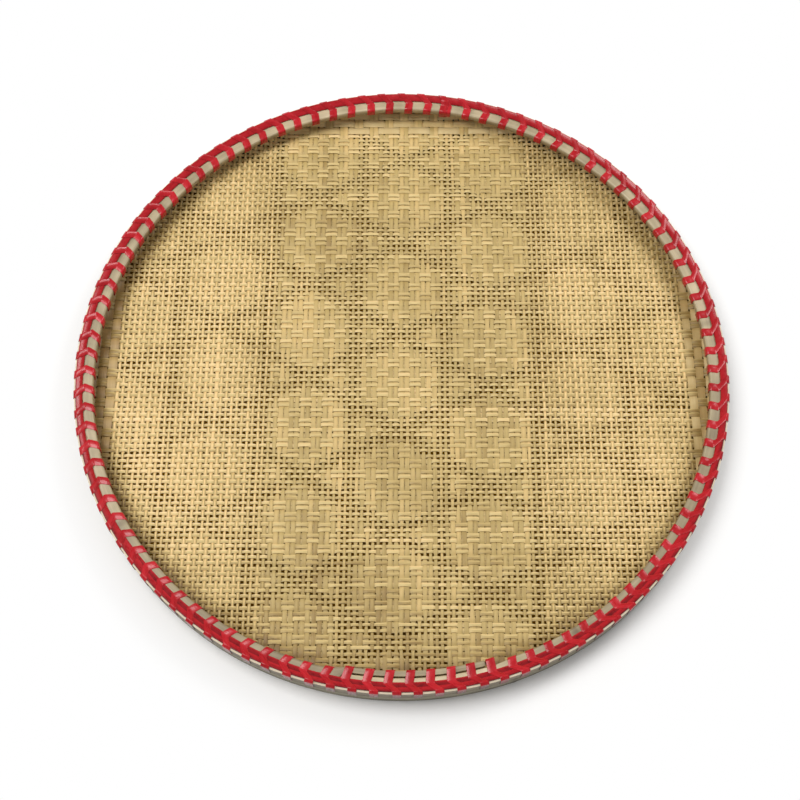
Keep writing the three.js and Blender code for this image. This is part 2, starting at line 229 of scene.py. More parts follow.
# Lines drawn along the strap by its die, and scuffs from use, which are duller
DRAWN_SPOTS = (0.03, 1.1)
DRAWN_HEIGHT = 0.1
SCUFF_SPOTS = (0.16, 0.3)
SCUFF_DEPTH = 0.7
SCUFFS_FROM = 0.3
SCUFFS_TO = 0.75
SMOOTH_ROUGHNESS = 0.2
SCUFFED_ROUGHNESS = 0.42


def strap_plastic(name, tones):
    """Extruded polypropylene strap: a glossy skin over an even colour, with faint drawn lines
    along it and dull scuffs."""
    m = Maker(name)
    lines = strip_noise(m, DRAWN_SPOTS, detail=2.0)
    scuffs = strip_noise(m, SCUFF_SPOTS, detail=4.0, roughness=0.65)
    colour = toned_colour(m, [(scuffs, SCUFF_DEPTH)], tones)
    rough = m.add("ShaderNodeMapRange", in_0=scuffs, in_1=SCUFFS_FROM, in_2=SCUFFS_TO,
                  in_3=SMOOTH_ROUGHNESS, in_4=SCUFFED_ROUGHNESS)
    bump = m.add("ShaderNodeBump", strength=0.3, distance=DRAWN_HEIGHT * MM, height=lines)
    shader = m.add(
        "ShaderNodeBsdfPrincipled",
        base_color=colour,
        roughness=rough.outputs[0],
        normal=bump.outputs[0],
        ior=1.49,
        specular_ior_level=0.24,
        coat_weight=0.28,
        coat_roughness=0.16,
    )
    return m.finish(shader)


# The rows' tones are lighter than the columns' as painted light, on the same bamboo
COLUMN_BAMBOO = bamboo(
    "split_bamboo_columns", ["#806436", "#a2864c", "#bba163", "#d3b373", "#ecc98a"],
    fibre_width=0.5, roughness=0.55, fibre_height=0.1)
ROW_BAMBOO = bamboo(
    "split_bamboo_rows", ["#987c44", "#bba064", "#d5bc7e", "#e9ca8d", "#fbdea7"],
    fibre_width=0.5, roughness=0.52, fibre_height=0.1)
BORDER_BAMBOO = bamboo(
    "split_bamboo_border", ["#7e6136", "#9d7d49", "#b3945a", "#c5a96f", "#d6be88"],
    fibre_width=0.7, roughness=0.5, fibre_height=0.15)
HOOP_BAMBOO = bamboo(
    "hoop_lath_bamboo", ["#574b37", "#827257", "#a59676", "#c8b592", "#ead8bd"],
    fibre_width=0.9, roughness=0.5, fibre_height=0.2)
# The foot lath's tones are greyer and darker than the hoop's as painted shade of the table
FOOT_BAMBOO = bamboo(
    "foot_lath_bamboo", ["#3f3b2e", "#625c49", "#827a62", "#9b937a", "#b3ab90"],
    fibre_width=0.9, roughness=0.55, fibre_height=0.2)
STRAP_RED = strap_plastic(
    "red_strap_plastic", ["#5a070e", "#8c0d15", "#ae141d", "#c2202a", "#d63f47"])


# Meshes

def grid_quads(rows, sides):
    """Quads of a skin over rows of points that go all round it, as vertex numbers."""
    r = np.arange(rows - 1)[:, None] * sides
    s = np.arange(sides)[None, :]
    t = (s + 1) % sides
    quads = np.stack([r + s, r + t, r + sides + t, r + sides + s], axis=-1)
    return quads.reshape(-1, 4)


class Skin:
    """Collects swept strips, each an array of rows x sides points, into one mesh."""

    def __init__(self):
        self.points, self.quads, self.grain, self.tone, self.slots = [], [], [], [], []
        self.count = 0

    def add(self, rows, grain, tone, closed_along=False):
        """Adds one strip with its grain coordinates and tone, closed to a ring or capped."""
        n, sides, _ = rows.shape
        last = (n - 1) * sides
        if closed_along:
            s = np.arange(sides)
            t = (s + 1) % sides
            ends = np.stack([last + s, last + t, t, s], axis=-1)
        else:
            caps = []
            for k in range(1, sides - 2, 2):
                caps.append([0, k + 2, k + 1, k])
                caps.append([last, last + k, last + k + 1, last + k + 2])
            ends = np.array(caps)
        self.quads.append(np.vstack([grid_quads(n, sides), ends]) + self.count)
        self.points.append(rows.reshape(-1, 3))
        self.grain.append(np.broadcast_to(grain, rows.shape).reshape(-1, 3))
        self.tone.append(np.broadcast_to(tone, (n, sides)).reshape(-1))
        self.slots.append(np.tile(np.arange(sides), n))
        self.count += n * sides

    def build(self, name, material, sharp_sides=()):
        """Makes the piece. Edges that run along its sharp sides stay sharp."""
        points = np.concatenate(self.points) * MM
        quads = np.concatenate(self.quads)
        mesh = bpy.data.meshes.new(name)
        mesh.vertices.add(len(points))
        mesh.vertices.foreach_set("co", points.astype(np.float32).ravel())
        mesh.loops.add(len(quads) * 4)
        mesh.loops.foreach_set("vertex_index", quads.astype(np.int32).ravel())
        mesh.polygons.add(len(quads))
        mesh.polygons.foreach_set("loop_start", np.arange(0, len(quads) * 4, 4, dtype=np.int32))
        mesh.update(calc_edges=True)
        mesh.validate()
        mesh.polygons.foreach_set("use_smooth", np.ones(len(mesh.polygons), dtype=bool))
        grain = mesh.attributes.new("grain", "FLOAT_VECTOR", "POINT")
        grain.data.foreach_set("vector", np.concatenate(self.grain).astype(np.float32).ravel())
        tone = mesh.attributes.new("tone", "FLOAT", "POINT")
        tone.data.foreach_set("value", np.concatenate(self.tone).astype(np.float32))
        if sharp_sides:
            slots = np.concatenate(self.slots)
            ends = np.empty(len(mesh.edges) * 2, dtype=np.int32)
            mesh.edges.foreach_get("vertices", ends)
            ends = ends.reshape(-1, 2)
            same = slots[ends[:, 0]] == slots[ends[:, 1]]
            sharp = same & np.isin(slots[ends[:, 0]], sharp_sides)
            flag = mesh.attributes.new("sharp_edge", "BOOLEAN", "EDGE")
            flag.data.foreach_set("value", sharp)
        mesh.materials.append(material)
        piece = bpy.data.objects.new(name, mesh)
        bpy.context.scene.collection.objects.link(piece)
        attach(piece, BODY)
        return piece


def smooth(low, high, value):
    """0 below low, 1 above high, and an even rise between them."""
    t = np.clip((value - low) / (high - low), 0, 1)
    return t * t * (3 - 2 * t)


def fade(change, distance):
    """A change of tone, given as its amount and where it starts and is full, at this distance."""
    amount, start, full = change
    return amount * smooth(start, full, distance)


# The woven mat

MAT_MIDDLE = MAT_BOTTOM + MAT_THICKNESS / 2
MAT_WALL_MIDDLE = MAT_WALL_RADIUS - MAT_THICKNESS / 2
MAT_FLAT_RADIUS = MAT_WALL_MIDDLE - MAT_BEND_RUN
MAT_BEND_LENGTH = 0.5 * math.pi * math.hypot(MAT_BEND_RUN, MAT_BEND_RISE) / math.sqrt(2)
MAT_WALL_LENGTH = MAT_TOP - MAT_MIDDLE - MAT_BEND_RISE
# The splints are cut off under the lip of the inner hoop's lath
MAT_CUT_DEPTH = 2.6
MAT_CUT_RADIUS = MAT_FLAT_RADIUS + MAT_BEND_LENGTH + MAT_WALL_LENGTH - MAT_CUT_DEPTH
# The weave is pressed this much thinner where it stands up in the wall
WALL_PRESS_SHARE = 0.2
SHORTEST_REACH = 25.0
# Keep the last column from being lost to rounding, and the middle from a division by zero
EDGE_SLACK = 0.1
LEAST_DISTANCE = 1e-6

# The weave is open along three sets of lines, upright and slanting both ways, which leave
# hexagons and small triangles of close weave between them
LINE_SPACING = 70.8
LINE_RISE = 40.6
CELL_FIRST_X = -1.5
CELL_FIRST_Y = -6.5
CELL_LEAN = 0.03
CELL_DROP = 0.065
OPEN_HALF_WIDTH = 5.8
OPEN_EDGE = 2.6
# The open lines vary in width, and are narrower near the far side
OPEN_VARIATION = 0.12
OPEN_VARIATION_SCALE = 120.0
OPEN_VARIATION_SEED = 3
FAR_NARROWING = (0.35, 150.0, 205.0)
# Where the cells change from the middle's weave to the sides' weave
SIDES_FROM = 88.0
SIDES_TO = 112.0
# Widths of the splints as shares of their spacing: on the open lines, in the close cells where
# a splint lies on top and where it is pressed wider under the others, and in the side cells
OPEN_SHARES = {"x": 0.5, "y": 0.54}
TOP_SHARES = {"x": 0.76, "y": 0.62}
UNDER_SHARE = 0.96
SIDE_TOP_SHARE = 0.56
SIDE_UNDER_SHARE = 0.86
AT_WIDE_SHARE = 0.8
# How much of a crossing a splint lies level on, as a share of the spacing or the half width
LEVEL_SHARE = 0.3
WIDE_LEVEL_SHARE = 0.8
LEAST_STEP = 0.05
# A splint's edge is this share of its thickness, the wide ones' being blunter
EDGE_SHARE = 0.35
WIDE_EDGE_SHARE = 0.7
# Fine splints draw together between the wide ones, by this share of their spacing, in groups
BUNCH_SHARE = 0.1
BUNCH_GROUPS = {"x": (0, 1, -1, 0, 1, -1), "y": (1, -1)}
BUNCH_START = FINE_EDGE - 6.0
BUNCH_FULL = FINE_EDGE + 3.0
# How a splint varies by hand: its width as a share, and its place and tone along its length
WIDTH_SMOOTHING = (0.15, 0.7, 0.15)
WIDTH_SPREAD = 0.05
WIDTH_RIPPLE = (0.05, 23.0)
SHIFT_RIPPLE = (0.25, 41.0)
SHORT_SHIFT_RIPPLE = (0.15, 13.0)
TONE_RIPPLE = (0.1, 57.0)
TONE_MIDDLE = 0.55
TONE_SPREAD = 0.06
TONE_LIMITS = (0.1, 0.95)
# Keeps the fibres of neighbouring splints apart
GRAIN_OFFSET = 40

# Changes of tone over the mat, as (amount, where it starts, where it is full): painted light at
# the left, the right and the far edge, and painted shade near the camera's side, towards the far
# side and in the bend
LEFT_PAINTED_LIGHT = (0.26, 70.0, 150.0)
RIGHT_PAINTED_LIGHT = (0.22, 80.0, 160.0)
NEAR_PAINTED_SHADE = (-0.12, 100.0, 200.0)
FAR_PAINTED_SHADE = (-0.06, 60.0, 120.0)
FAR_EDGE_PAINTED_LIGHT = (0.16, 198.0, 212.0)
BEND_PAINTED_SHADE = (-0.5, MAT_FLAT_RADIUS - 18.0, MAT_FLAT_RADIUS + 2.0)
# The bend's painted shade is stronger at the left and weaker towards the far side
BEND_SHADE_LEFT = (0.6, 100.0, 180.0)
BEND_SHADE_FAR = (-0.85, 100.0, 200.0)
# Painted shade on the fine rows towards their ends at the edge of the fine weave
ROW_END_PAINTED_SHADE = (-0.25, FINE_EDGE - 4.0, FINE_EDGE + 2.0)
PATCH_TONE = 0.07
PATCH_SCALE = 110.0
PATCH_SEED = 11
# A splint has painted light along its rounded middle and painted shade at its edges, in the
# middle and side cells
RIDGE_LIGHT_AND_SHADE = {"x": (0.02, 0.3), "y": (0.14, 0.3)}
WIDE_RIDGE_LIGHT_AND_SHADE = (0.03, 0.03)
# The wide splints show this share of the mat's painted light and shade and its patches, and
# those of the left side have painted shade of their own, those of the right and far sides
# painted light
WIDE_TONE_SHARE = 0.35
WIDE_SIDE_LIGHT_AND_SHADE = {"left": -0.14, "right": 0.12, "far": 0.3, "near": 0.0}

WOBBLE_WAVES = 5
WOBBLE_STRETCHES = (0.7, 1.6)
WOBBLE_SUM = 2.6


def wobble(x, y, scale, seed):
    """A slow smooth variation between about -1 and 1 over the mat."""
    local = np.random.default_rng(seed)
    total = np.zeros(np.broadcast(x, y).shape)
    for _ in range(WOBBLE_WAVES):
        angle, phase = local.uniform(0, TURN, 2)
        stretch = local.uniform(*WOBBLE_STRETCHES) / scale
        total = total + np.sin((x * np.cos(angle) + y * np.sin(angle)) * stretch * TURN + phase)
    return total / WOBBLE_SUM


def ripple(shape, along, phase):
    """A wave along a splint, given as its amount and its length in millimetres per radian."""
    amount, length = shape
    return amount * np.sin(along / length + phase)


def from_nearest(value, spacing):
    """Distance from the nearest whole multiple of the spacing."""
    return np.abs(value - spacing * np.round(value / spacing))


def close_share(x, y):
    """1 in the close weave of a cell and 0 on the open lines between the cells."""
    across = x - CELL_FIRST_X - CELL_LEAN * y
    up = y - CELL_FIRST_Y + CELL_DROP * x
    slope = LINE_RISE / LINE_SPACING
    upright = from_nearest(across - LINE_SPACING / 2, LINE_SPACING)
    rising = from_nearest(up - slope * across - LINE_RISE, 2 * LINE_RISE) / math.hypot(1, slope)
    falling = from_nearest(up + slope * across - LINE_RISE, 2 * LINE_RISE) / math.hypot(1, slope)
    nearest = np.minimum(upright, np.minimum(rising, falling))
    variation = OPEN_VARIATION * wobble(x, y, OPEN_VARIATION_SCALE, OPEN_VARIATION_SEED)
    half_width = OPEN_HALF_WIDTH * (1 + variation - fade(FAR_NARROWING, y))
    return smooth(half_width - OPEN_EDGE, half_width + OPEN_EDGE, nearest)


def side_share(x):
    """0 in the middle of the mat, where cells are woven two over two, and 1 at its left and
    right, where they are woven one over one with smaller gaps than on the open lines."""
    return smooth(SIDES_FROM, SIDES_TO, np.abs(x))


def wide_line(side, order, last_at):
    """One wide splint of a side, counted from the fine weave outwards."""
    sign = -1 if side in ("left", "near") else 1
    name = f"border_splint_{side}_" + ("inner" if order == 0 else "outer")
    if side == "near":
        name = "border_splint_near"
    low, high = node_box(name)
    k = 0 if side in ("left", "right") else 1
    half = (high[k] - low[k]) / 2
    if order < 2:
        at = (low[k] + high[k]) / 2
    else:
        at = last_at + sign * WIDE_SPLINT_PITCH
        name = None
    return {"at": float(at), "half": float(half), "wide": True,
            "number": order, "name": name, "side": side}


def splint_lines(axis):
    """Centre, half width, whether it is wide and its number, for each splint across one axis."""
    if axis == "x":
        fine = np.arange(-FINE_EDGE, FINE_EDGE + EDGE_SLACK, COLUMN_PITCH)
        sides = ("left", "right")
    else:
        far = FINE_EDGE - FAR_ROW_PITCH * np.arange(FAR_ROWS)
        near = np.arange(far[-1] - ROW_PITCH, -NEAR_FINE_EDGE, -ROW_PITCH)
        fine = np.concatenate([far, near])[::-1]
        sides = ("near", "far")
    lines = []
    for number, at in enumerate(fine):
        lines.append({"at": float(at), "half": None, "wide": False,
                      "number": number, "name": None, "side": None})
    for side in sides:
        # Under the near rim there is room for one wide splint on the floor only
        for order in range(1 if side == "near" else 0, WIDE_SPLINTS):
            lines.append(wide_line(side, order, lines[-1]["at"]))
    return sorted(lines, key=lambda line: line["at"])


COLUMNS = splint_lines("x")
ROWS = splint_lines("y")


def lay(x, y, height):
    """A point of the flat mat at this height over its middle, bent up at the edge into the wall."""
    distance = np.hypot(x, y)
    past = np.clip(distance - MAT_FLAT_RADIUS, 0, None)
    turn = np.clip(past / MAT_BEND_LENGTH, 0, 1) * math.pi / 2
    wall = np.clip(past - MAT_BEND_LENGTH, 0, None)
    height = height * (1 - WALL_PRESS_SHARE * turn / (math.pi / 2))
    radius = np.minimum(distance, MAT_FLAT_RADIUS) + (MAT_BEND_RUN - height) * np.sin(turn)
    z = MAT_MIDDLE + MAT_BEND_RISE * (1 - np.cos(turn)) + wall + height * np.cos(turn)
    scale = radius / np.maximum(distance, LEAST_DISTANCE)
    return np.stack([x * scale, y * scale, z], axis=-1)


def column_on_top(column, row, x, y):
    """+1 where the column passes over the row, and -1 where the row passes over the column."""
    if column["wide"]:
        # A wide column goes over two rows and under two, and the next one the other way
        wide_on_top = (row["number"] + 2 * column["number"]) % 4 < 2
        return 1 if wide_on_top else -1
    if row["wide"]:
        # A wide row goes over four columns and under two, shifted by three at the next one
        wide_on_top = (column["number"] + 3 * row["number"]) % 6 < 4
        return -1 if wide_on_top else 1
    if close_share(x, y) > 0.5 and side_share(x) < 0.5:
        pair = column["number"] // 2 + row["number"] // 2
        return 1 if pair % 2 == 0 else -1
    return 1 if (column["number"] + row["number"]) % 2 == 0 else -1


def bunch(line, axis, along):
    """Sideways shift of a fine splint where it crosses the wide ones, towards its partner."""
    group = BUNCH_GROUPS[axis]
    near_wide = smooth(BUNCH_START, BUNCH_FULL, np.abs(along))
    return BUNCH_SHARE * COLUMN_PITCH * group[line["number"] % len(group)] * near_wide


def fine_share(axis, x, y, on_top):
    """Width of a fine splint at a crossing, as a share of the spacing."""
    middle = TOP_SHARES[axis] if on_top else UNDER_SHARE
    side = SIDE_TOP_SHARE if on_top else SIDE_UNDER_SHARE
    closed = middle + (side - middle) * side_share(x)
    return OPEN_SHARES[axis] + (closed - OPEN_SHARES[axis]) * close_share(x, y)


def crossings(line, others, axis, reach):
    """Where along a splint its crossings start and end, with its height and half width there."""
    at = line["at"]
    row_pitch = ROW_PITCH if at < FAR_ROWS_FROM else FAR_ROW_PITCH
    pitch = COLUMN_PITCH if axis == "x" else row_pitch
    along, height, half_width = [], [], []
    for other in others:
        if abs(other["at"]) > reach:
            continue
        level = other["half"] * WIDE_LEVEL_SHARE if other["wide"] else LEVEL_SHARE * COLUMN_PITCH
        x, y = (at, other["at"]) if axis == "x" else (other["at"], at)
        column, row = (line, other) if axis == "x" else (other, line)
        top = column_on_top(column, row, x, y)
        lift = SPLINT_LIFT * (top if axis == "x" else -top)
        share = AT_WIDE_SHARE if other["wide"] else fine_share(axis, x, y, lift > 0)
        for side in (-1, 1):
            along.append(other["at"] + side * level)
            height.append(lift)
            half_width.append(line["half"] if line["wide"] else 0.5 * pitch * share)
    # The ends of the splint are as its last crossings are
    along = np.array([-reach, *along, reach])
    height = np.array([height[0], *height, height[-1]])
    half_width = np.array([half_width[0], *half_width, half_width[-1]])
    keep = np.concatenate([[True], np.diff(along) > LEAST_STEP])
    return along[keep], height[keep], half_width[keep]


def mat_tone(x, y):
    """How much lighter or darker the mat is here: painted light and shade, and random patches."""
    ends = fade(LEFT_PAINTED_LIGHT, -x) + fade(RIGHT_PAINTED_LIGHT, x)
    ends = ends + fade(NEAR_PAINTED_SHADE, -y) + fade(FAR_PAINTED_SHADE, y) + fade(FAR_EDGE_PAINTED_LIGHT, y)
    bend_shade = fade(BEND_PAINTED_SHADE, np.hypot(x, y)) * (1 + fade(BEND_SHADE_LEFT, -x)) * (1 + fade(BEND_SHADE_FAR, y))
    return ends + bend_shade + PATCH_TONE * wobble(x, y, PATCH_SCALE, PATCH_SEED)


def splint_tone(line, axis, along, tones):
    """Tone of the six sides of a splint at each place along it."""
    at = line["at"] + 0 * along
    x, y = (at, along) if axis == "x" else (along, at)
    tone = tones["tone"] + ripple(TONE_RIPPLE, along, tones["phase"])
    if line["wide"]:
        tone = tone + WIDE_SIDE_LIGHT_AND_SHADE[line["side"]] + WIDE_TONE_SHARE * mat_tone(x, y)
    else:
        tone = tone + mat_tone(x, y)
        if axis == "y":
            tone = tone + fade(ROW_END_PAINTED_SHADE, np.abs(along))
    middle, side = WIDE_RIDGE_LIGHT_AND_SHADE if line["wide"] else RIDGE_LIGHT_AND_SHADE[axis]
    ridge_light = middle + (side - middle) * side_share(x)
    return tone[:, None] + ridge_light[:, None] * np.array([-1, -1, 1, -1, -1, 1])[None, :]


def splint_strip(line, others, axis, tones):
    """Rows of six points along one splint, with its grain coordinates and tone."""
    at = line["at"]
    reach = math.sqrt(max(MAT_CUT_RADIUS ** 2 - at ** 2, 0))
    if reach < SHORTEST_REACH:
        return None
    along, height, half_width = crossings(line, others, axis, reach)
    phase = tones["phase"]
    half_width = np.convolve(np.pad(half_width, 1, mode="edge"), WIDTH_SMOOTHING, mode="valid")
    half_width = half_width * (1 + WIDTH_SPREAD * tones["width"])
    half_width = half_width * (1 + ripple(WIDTH_RIPPLE, along, phase))
    shift = ripple(SHIFT_RIPPLE, along, phase) + ripple(SHORT_SHIFT_RIPPLE, along, 2 * phase)
    if not line["wide"]:
        shift = shift + bunch(line, axis, along)
    thick = SPLINT_THICKNESS / 2
    edge = thick * (WIDE_EDGE_SHARE if line["wide"] else EDGE_SHARE)
    section = ((-1, -edge), (-1, edge), (0, thick), (1, edge), (1, -edge), (0, -thick))
    rows = []
    for across, up in section:
        across_at = at + shift + across * half_width
        if axis == "x":
            rows.append(lay(across_at, along, height + up))
        else:
            rows.append(lay(along, across_at, height + up))
    rows = np.stack(rows, axis=1)
    if axis == "y":
        # So that the faces look outwards here too
        rows = rows[:, ::-1]
    across_share = np.array([-1, -1, 0, 1, 1, 0])[None, :]
    grain = np.zeros(rows.shape)
    grain[..., 0] = along[:, None]
    grain[..., 1] = across_share * half_width[:, None] + GRAIN_OFFSET * at
    grain[..., 2] = at
    return rows, grain, splint_tone(line, axis, along, tones)


SHARP_SPLINT_SIDES = (0, 1, 3, 4)


def splint_piece(line, axis):
    """Name and material of the piece that a splint belongs to."""
    if line["name"]:
        return line["name"].replace("border_splint", "wide_splint"), BORDER_BAMBOO
    if line["wide"]:
        return "wall_splints", BORDER_BAMBOO
    if axis == "x":
        return "fine_columns_left" if line["at"] < 0 else "fine_columns_right", COLUMN_BAMBOO
    return "fine_rows_near" if line["at"] < 0 else "fine_rows_far", ROW_BAMBOO


def weave():
    """The whole mat: fine splints in four pieces, the wall's wide splints, and the border splints."""
    skins = {}
    materials = {}
    for axis, lines, others in (("x", COLUMNS, ROWS), ("y", ROWS, COLUMNS)):
        for line in lines:
            tone = TONE_MIDDLE + TONE_SPREAD * rng.standard_normal()
            tones = {
                "tone": float(np.clip(tone, *TONE_LIMITS)),
                "width": float(rng.standard_normal()),
                "phase": float(rng.uniform(0, TURN)),
            }
            strip = splint_strip(line, others, axis, tones)
            if strip is None:
                continue
            name, material = splint_piece(line, axis)
            materials[name] = material
            skins.setdefault(name, Skin()).add(*strip)
    for name, skin in skins.items():
        piece = skin.build(name, materials[name], SHARP_SPLINT_SIDES)
        if name.startswith("wide_splint"):
            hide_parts(name.replace("wide_splint", "border_splint"))
        else:
            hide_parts("woven_panel")


# The hoops

NODE_SPACING = 285.0
NODE_HALF_LENGTH = 2.2
# How far a node stands out of a flat lath and of the rounded one, and how much darker it is
NODE_HEIGHT = 0.25
ROUND_NODE_HEIGHT = 0.3
NODE_BROWN = 0.25
ROUND_NODE_BROWN = 0.22
LATH_RIPPLE = (0.06, 83.0)
ROUND_LATH_RIPPLE = (0.07, 61.0)
STEPS_PER_STITCH = 8


def knuckle(along):
    """Height of the raised ring at each node of the bamboo, from 0 to 1."""
    offset = np.mod(along + NODE_SPACING / 2, NODE_SPACING) - NODE_SPACING / 2
    return np.exp(-(offset / NODE_HALF_LENGTH) ** 2)


def ring_points(radius, angle, z):
    """Points at these radii, angles and heights round the axis of the rim."""
    return np.stack([radius * np.cos(angle), radius * np.sin(angle), z], axis=-1)


def lath_ring(name, section, material, node_shift):
    """A lath bent to a ring, from its outline as (radius, height, tone, on its outer face)."""
    steps = STITCHES * STEPS_PER_STITCH
    angle = np.arange(steps) / steps * TURN
    along = angle * OUTER_HOOP_RADIUS
    node = knuckle(along + node_shift)
    rows, tones, across = [], [], []
    perimeter = 0.0
    for number, (radius, z, tone, on_face) in enumerate(section):
        swell = NODE_HEIGHT * (node - 1) if on_face else 0 * node
        rows.append(ring_points(radius + swell, angle, np.full(steps, float(z))))
        tones.append(tone - NODE_BROWN * node + ripple(LATH_RIPPLE, along, node_shift))
        across.append(perimeter)
        following = section[(number + 1) % len(section)]
        perimeter += math.hypot(following[0] - radius, following[1] - z)
    rows = np.stack(rows, axis=1)
    grain = np.zeros(rows.shape)
    grain[..., 0] = along[:, None]
    grain[..., 1] = np.array(across)[None, :] + node_shift
    skin = Skin()
    skin.add(rows, grain, np.stack(tones, axis=1), closed_along=True)
    piece = skin.build(name, material, range(len(section)))
    return piece


def outer_hoop():
    """A flat lath on edge, pale where its top was cut and pared to a slope on the inside."""
    inner = OUTER_HOOP_RADIUS - OUTER_HOOP_THICKNESS
    outer = OUTER_HOOP_RADIUS
    low, high = OUTER_HOOP_BOTTOM, OUTER_HOOP_TOP
    bevel = 0.4
    top_bevel = 0.2
    skin_edge = 1.1
    cut_edge = 0.8
    section = [
        (inner, low, 0.3, False),
        (outer - bevel, low, 0.2, False),
        (outer, low + bevel, 0.12, True),
        (outer, (low + high) / 2, 0.2, True),
        (outer, high - skin_edge, 0.28, True),
        (outer - top_bevel, high - cut_edge, 1.0, False),
        (inner + SLOPE_WIDTH + top_bevel, high, 1.1, False),
        (inner + SLOPE_WIDTH, high, 1.0, False),
        (inner, high - SLOPE_HEIGHT, 0.5, False),
    ]
    piece = lath_ring("outer_hoop_lath", section, HOOP_BAMBOO, node_shift=30)
    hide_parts("outer_hoop")


def foot_hoop():
    """The lath under the outer hoop, which the basket stands on, greyer and darker towards the
    bottom with painted shade of the table.
    """
    inner = MAT_WALL_RADIUS + CLEARANCE
    outer = OUTER_HOOP_RADIUS
    high = FOOT_HOOP_TOP
    bevel = 0.5
    section = [
        (inner, 0, 0.3, False),
        (outer - bevel, 0, 0.2, False),
        (outer, bevel, 0.25, True),
        (outer, high / 2, 0.45, True),
        (outer, high - bevel, 0.6, True),
        (outer - bevel, high, 0.6, False),
        (inner, high, 0.5, False),
    ]
    piece = lath_ring("foot_hoop_lath", section, FOOT_BAMBOO, node_shift=170)
    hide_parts("foot_hoop")


# How far the lath's upper outer edge leans over the top of the wall
LATH_LIP = 2.1
# The outer lapped end runs this much further under a stitch, and the wedge left by the other
# end's step beside it is this long
LAP_TIP = 5.0
LAP_WEDGE = 7.0
LATH_STEPS = 760
LATH_SIDES = 16
LATH_NODE_SHIFT = 120
# How round the lath is: nearly square against the wall, and rounder on the side of the tray
WALL_SIDE_POWER = 0.12
TRAY_SIDE_POWER = 0.5
# Its ends are rounded off over this length, down to the square root of this share of its size
END_ROUNDING = 2.2
END_LEAST = 0.05
# Its grain turns round it by this many millimetres per radian
LATH_GRAIN_TURN = 3.0
# Its tone, and how much lighter or darker it is: painted light on top and painted shade below,
# painted shade against the wall, painted light at the far side, lighter where it is pared and
# darker at its ends, fully within the first distance and not past the second
LATH_TONE = 0.33
LATH_TOP_PAINTED_LIGHT = 0.16
LATH_WALL_PAINTED_SHADE = -0.04
LATH_FAR_PAINTED_LIGHT = 0.09
PARED_TONE = 0.24
END_TONE = -0.4
END_TONE_RUN = (0.6, 2.6)
# The lip takes in what is higher than this share of half the lath's height
LIP_FROM_SHARE = 0.5


def lap_step(along_angle):
    """How far along its step towards the axis the inner hoop is, from 0 to 1."""
    inner = INNER_HOOP_RADIUS - INNER_HOOP_WIDTH
    end = TURN - CLEARANCE / inner
    return smooth(end - LAP_STEP_LENGTH / inner, end, along_angle)


def inner_hoop():
    """One rounded lath, whose ends are pared thinner and lie side by side."""
    inner_radius = INNER_HOOP_RADIUS - INNER_HOOP_WIDTH
    lap_angle = LAP_LENGTH / inner_radius
    tip_angle = LAP_TIP / inner_radius
    wedge_angle = LAP_WEDGE / inner_radius
    along_angle = np.linspace(-tip_angle, TURN + lap_angle, LATH_STEPS)
    angle = LAP_START + along_angle
    along = along_angle * INNER_HOOP_RADIUS
    step = lap_step(along_angle)
    outer_step = smooth(TURN - tip_angle - wedge_angle, TURN - tip_angle, along_angle)
    pared = 1 - smooth(lap_angle, lap_angle + LAP_STEP_LENGTH / inner_radius, along_angle)
    outer = INNER_HOOP_RADIUS - outer_step * (LAP_WIDTH + CLEARANCE)
    inner = inner_radius - step * LAP_OFFSET + pared * (INNER_HOOP_WIDTH - LAP_WIDTH)
    middle_r = (outer + inner) / 2
    middle_z = (INNER_HOOP_BOTTOM + INNER_HOOP_TOP) / 2
    from_end = np.minimum(along - along[0], along[-1] - along)
    shrink = np.sqrt(np.clip(from_end / END_ROUNDING, END_LEAST, 1))
    half_w = (outer - inner) / 2 * shrink
    half_h = (INNER_HOOP_TOP - INNER_HOOP_BOTTOM) / 2 * shrink
    node = knuckle(along + LATH_NODE_SHIFT)
    # The outer of the two lapped ends is the paler one, and the far side has painted light
    lath_tone = LATH_TONE + LATH_FAR_PAINTED_LIGHT * np.sin(angle) + PARED_TONE * pared
    lath_tone = lath_tone + END_TONE * (1 - smooth(*END_TONE_RUN, from_end))
    lath_tone = lath_tone - ROUND_NODE_BROWN * node + ripple(ROUND_LATH_RIPPLE, along, 0)
    rows, tones, across = [], [], []
    for side in range(LATH_SIDES):
        turn = TURN * (side + 0.5) / LATH_SIDES
        power = WALL_SIDE_POWER if math.cos(turn) > 0 else TRAY_SIDE_POWER
        share_w = math.copysign(abs(math.cos(turn)) ** power, math.cos(turn))
        share_h = math.copysign(abs(math.sin(turn)) ** power, math.sin(turn))
        radius = middle_r + (half_w + ROUND_NODE_HEIGHT * (node - 1)) * share_w
        if share_w > 0 and share_h > LIP_FROM_SHARE:
            radius = radius + LATH_LIP * shrink * (1 - outer_step)
        rows.append(ring_points(radius, angle, middle_z + half_h * share_h))
        # Painted light on the lath's top, and painted shade below it and against the wall
        tones.append(lath_tone + LATH_TOP_PAINTED_LIGHT * share_h + LATH_WALL_PAINTED_SHADE * share_w)
        across.append(turn * LATH_GRAIN_TURN)
    rows = np.stack(rows, axis=1)
    grain = np.zeros(rows.shape)
    grain[..., 0] = along[:, None]
    grain[..., 1] = np.array(across)[None, :]
    skin = Skin()
    skin.add(rows, grain, np.stack(tones, axis=1))
    piece = skin.build("inner_hoop_lath", HOOP_BAMBOO)
    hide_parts("inner_hoop")


# The red binding strip

